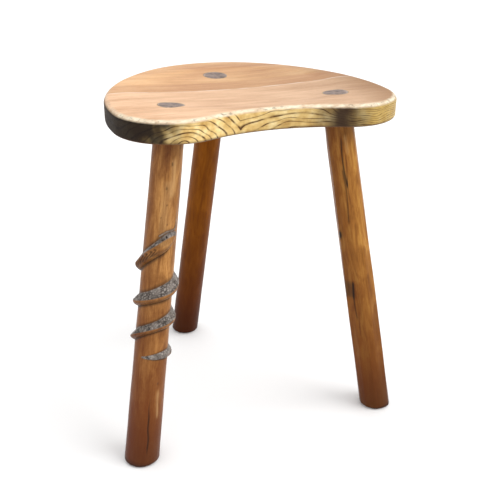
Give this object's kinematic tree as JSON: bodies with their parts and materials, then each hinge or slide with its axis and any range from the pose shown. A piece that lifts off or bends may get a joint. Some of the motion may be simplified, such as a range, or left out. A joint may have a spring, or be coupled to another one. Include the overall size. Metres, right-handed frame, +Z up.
{
  "type": "three leg stool",
  "caption": "Low wooden stool with a hollowed kidney seat on splayed round legs wedged through it, one leg carved with a coiled serpent.",
  "frame": {"origin": "on the floor, under the middle of the stool's overall width and depth", "axes": "+Z up, the scooped front edge of the seat and the two front legs towards -Y, the back leg towards +Y, the carved leg at -X"},
  "size_m": [0.3876, 0.3624, 0.45],
  "materials": {
    "seat_wood": "oiled and waxed, worn pale at the edges",
    "leg_wood": "dark waxed, mottled",
    "back_leg_wood": "dark waxed, even",
    "wedge_wood": "end grain, greyed",
    "dowel_wood": "raw"
  },
  "bodies": {
    "root": {"seat_board_front": "seat_wood", "seat_board_back": "seat_wood", "dowel_left": "dowel_wood", "dowel_middle": "dowel_wood", "dowel_right": "dowel_wood", "leg_front_left": "leg_wood", "leg_front_right": "leg_wood", "leg_back": "back_leg_wood", "wedge_front_left": "wedge_wood", "wedge_front_right": "wedge_wood", "wedge_back": "wedge_wood"}
  },
  "joints": []
}
